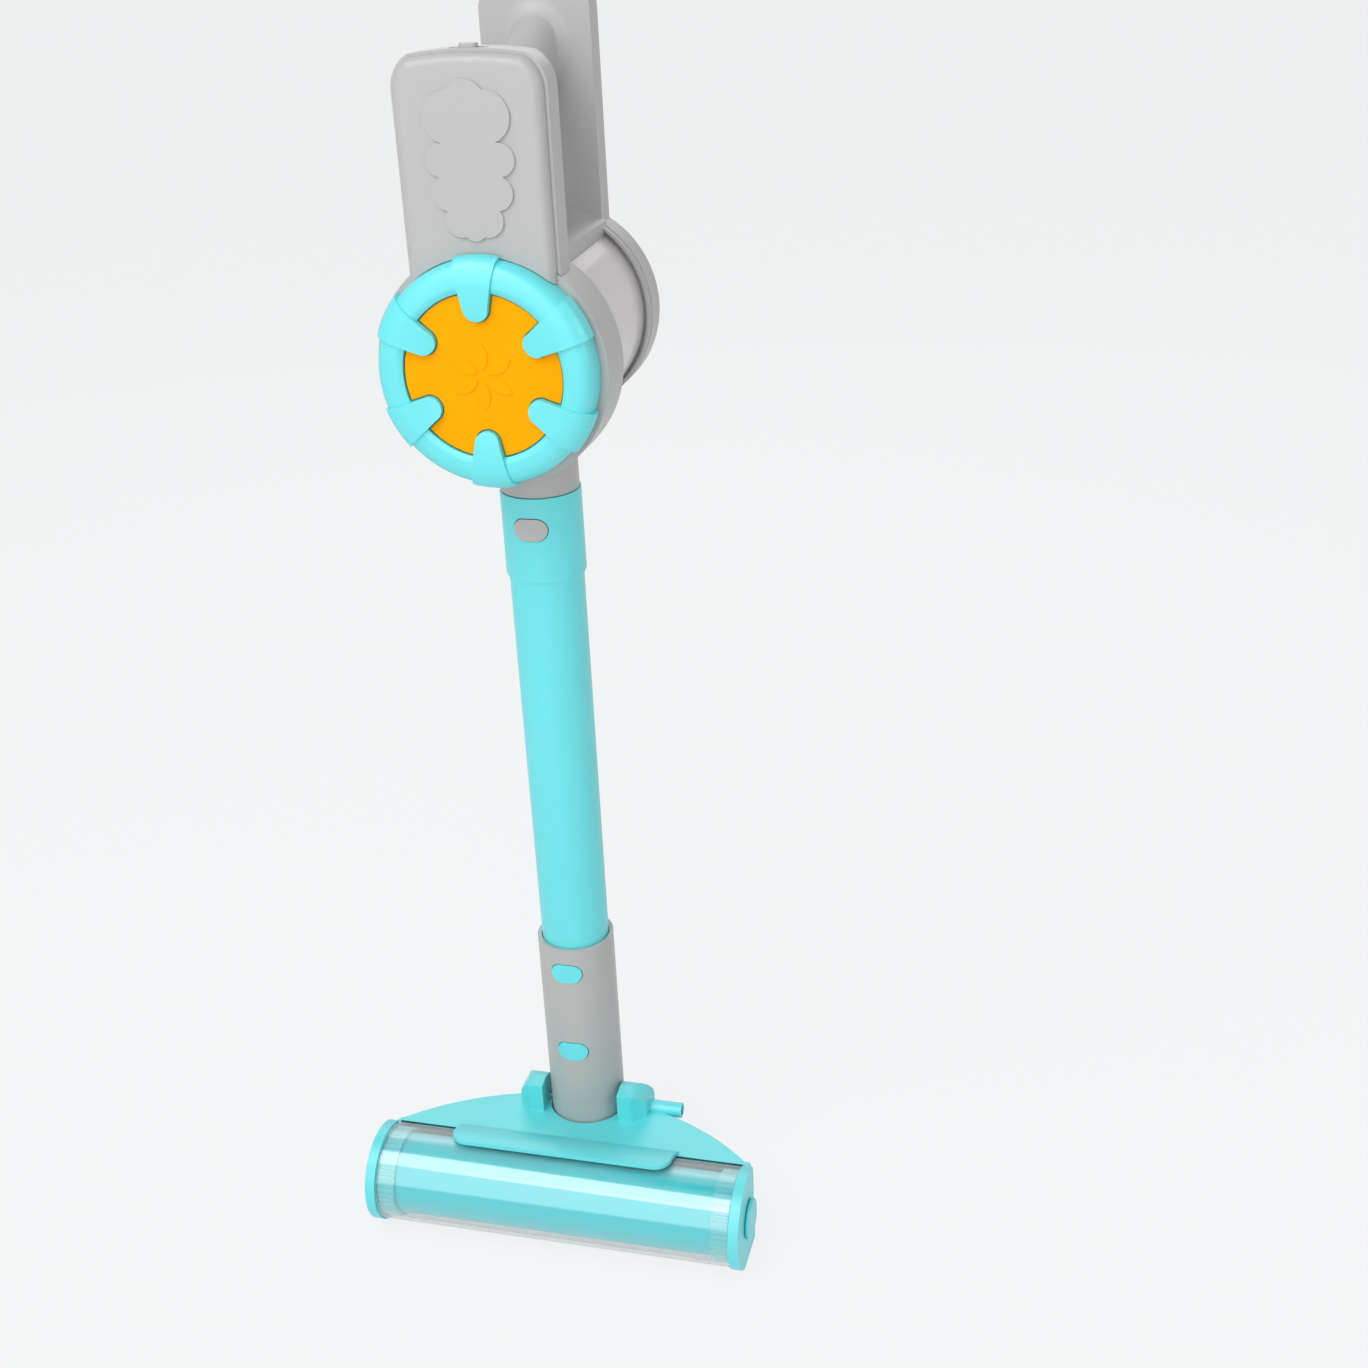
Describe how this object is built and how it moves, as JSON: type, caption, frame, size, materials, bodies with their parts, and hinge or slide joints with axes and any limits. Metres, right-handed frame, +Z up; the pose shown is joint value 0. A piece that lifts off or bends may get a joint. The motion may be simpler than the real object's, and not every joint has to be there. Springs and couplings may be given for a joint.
{
  "type": "toy vacuum cleaner",
  "caption": "Child's upright toy stick vacuum with a tilting floor head, clear roller, wand tube, drum hand unit and slide switch.",
  "frame": {"origin": "on the floor in the middle of the whole footprint", "axes": "+X to the right, +Y to the rear (away from the roller), +Z up along the wand"},
  "size_m": [0.1968, 0.1293, 0.5908],
  "materials": {
    "turquoise": "gloss",
    "grey": "satin",
    "orange": "gloss",
    "clear": "gloss",
    "steel": "satin",
    "dark": "satin",
    "board": "satin",
    "brass": "satin",
    "cells": "gloss"
  },
  "bodies": {
    "floor_head": {"head_top": "turquoise", "sole_plate": "turquoise", "head_screws": "steel", "pivot_pin": "steel"},
    "roller": {"roller_tube": "clear", "roller_drum": "turquoise", "left_plug": "turquoise", "right_plug": "turquoise", "left_knob": "turquoise", "right_knob": "turquoise"},
    "wand": {"pivot_spigot": "turquoise", "neck_sleeve": "grey", "lower_snap_spring": "steel", "upper_snap_spring": "steel", "wand_tube": "turquoise", "release_spring": "steel", "drum_housing": "grey", "dust_cup": "clear", "front_ring": "turquoise", "front_disc": "orange", "ring_screws": "steel", "handle_frame": "grey", "front_cover": "grey", "front_cover_screws": "steel", "rear_cover": "grey", "rear_cover_screws": "steel", "battery_door": "grey", "battery_screw": "steel", "switch_body": "dark", "circuit_board": "board", "speaker": "dark", "batteries": "cells", "battery_contacts": "brass"},
    "lower_snap": {"lower_snap": "turquoise"},
    "upper_snap": {"upper_snap": "turquoise"},
    "release_button": {"release_button": "grey"},
    "switch_knob": {"switch_knob": "grey"}
  },
  "joints": [
    {"name": "head_tilt", "type": "hinge", "parent": "floor_head", "child": "wand", "pos_m": [0, 0.01145, 0.043], "axis": [-1, 0, 0], "range_deg": [0, 75]},
    {"name": "roller_spin", "type": "hinge", "parent": "floor_head", "child": "roller", "pos_m": [0, -0.03985, 0.024], "axis": [1, 0, 0], "continuous": true},
    {"name": "lower_snap_press", "type": "slide", "parent": "wand", "child": "lower_snap", "axis": [0, 1, 0], "range_m": [0, 0.0028], "stiffness_N_per_m": 250, "deforming": ["lower_snap_spring"]},
    {"name": "upper_snap_press", "type": "slide", "parent": "wand", "child": "upper_snap", "axis": [0, 1, 0], "range_m": [0, 0.0028], "stiffness_N_per_m": 250, "deforming": ["upper_snap_spring"]},
    {"name": "release_press", "type": "slide", "parent": "wand", "child": "release_button", "axis": [0, 1, 0], "range_m": [0, 0.0028], "stiffness_N_per_m": 250, "deforming": ["release_spring"]},
    {"name": "switch_slide", "type": "slide", "parent": "wand", "child": "switch_knob", "axis": [1, 0, 0], "range_m": [-0.004, 0.004]}
  ]
}
